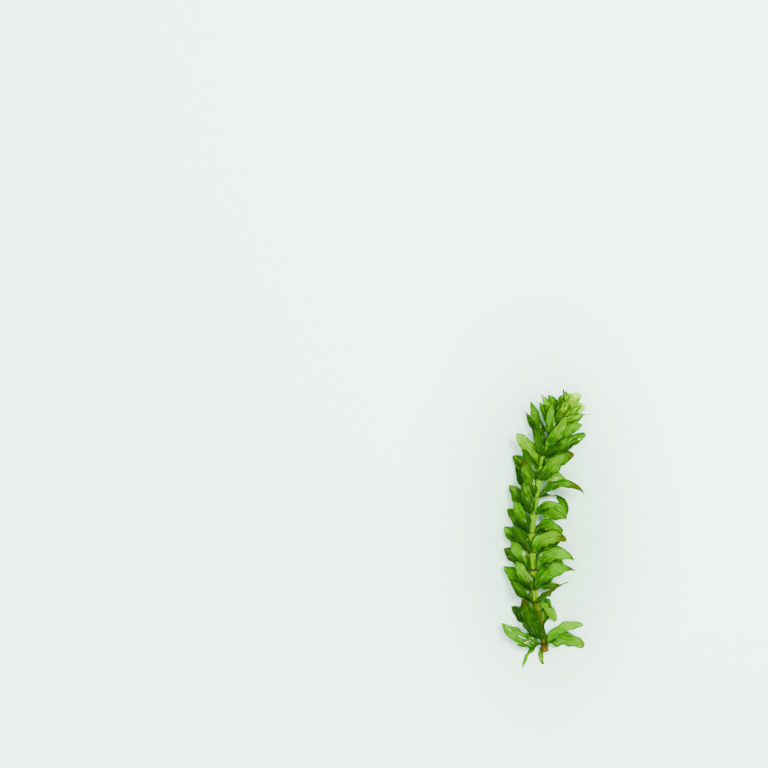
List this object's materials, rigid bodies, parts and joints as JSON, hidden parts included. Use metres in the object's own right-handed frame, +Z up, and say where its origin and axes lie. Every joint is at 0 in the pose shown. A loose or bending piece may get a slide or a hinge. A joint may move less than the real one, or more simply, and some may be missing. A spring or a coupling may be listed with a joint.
{
  "type": "brazilian waterweed",
  "caption": "Cut sprig of a submerged pond plant: a round stem with whorls of thin, pointed green leaves and a crowded growing tip, lying pressed flat.",
  "frame": {"origin": "middle of the sprig's bounding box at its underside, on the surface that it lies on", "axes": "+Y from the cut end of the stem to the growing tip, +X to the right seen from above, +Z up"},
  "size_m": [0.0316, 0.0988, 0.0101],
  "materials": {
    "leaf": "wet, glossy, translucent leaf",
    "stem": "wet, glossy green stem",
    "young_leaf": "wet, glossy, translucent young leaf"
  },
  "bodies": {
    "root": {"growing_tip": "young_leaf", "leaf_01_a": "leaf", "leaf_01_b": "leaf", "leaf_01_c": "leaf", "leaf_01_d": "leaf", "leaf_01_e": "leaf", "leaf_01_f": "leaf", "leaf_02_a": "leaf", "leaf_02_b": "leaf", "leaf_02_c": "leaf", "leaf_03_a": "leaf", "leaf_03_b": "leaf", "leaf_03_c": "leaf", "leaf_03_d": "leaf", "leaf_03_e": "leaf", "leaf_04_a": "leaf", "leaf_04_b": "leaf", "leaf_04_c": "leaf", "leaf_04_d": "leaf", "leaf_05_a": "leaf", "leaf_05_b": "leaf", "leaf_05_c": "leaf", "leaf_05_d": "leaf", "leaf_06_a": "leaf", "leaf_06_b": "leaf", "leaf_06_c": "leaf", "leaf_06_d": "leaf", "leaf_07_a": "leaf", "leaf_07_b": "leaf", "leaf_07_c": "leaf", "leaf_07_d": "leaf", "leaf_08_a": "leaf", "leaf_08_b": "leaf", "leaf_08_c": "leaf", "leaf_08_d": "leaf", "leaf_09_a": "leaf", "leaf_09_b": "leaf", "leaf_09_c": "leaf", "leaf_09_d": "leaf", "leaf_10_a": "leaf", "leaf_10_b": "leaf", "leaf_10_c": "leaf", "leaf_10_d": "leaf", "leaf_11_a": "leaf", "leaf_11_b": "leaf", "leaf_11_c": "leaf", "leaf_11_d": "leaf", "leaf_12_a": "leaf", "leaf_12_b": "leaf", "leaf_12_c": "leaf", "leaf_13_a": "leaf", "leaf_13_b": "leaf", "leaf_13_c": "leaf", "leaf_13_d": "leaf", "leaf_14_a": "leaf", "leaf_14_b": "leaf", "leaf_14_c": "leaf", "stem": "stem"}
  },
  "joints": []
}
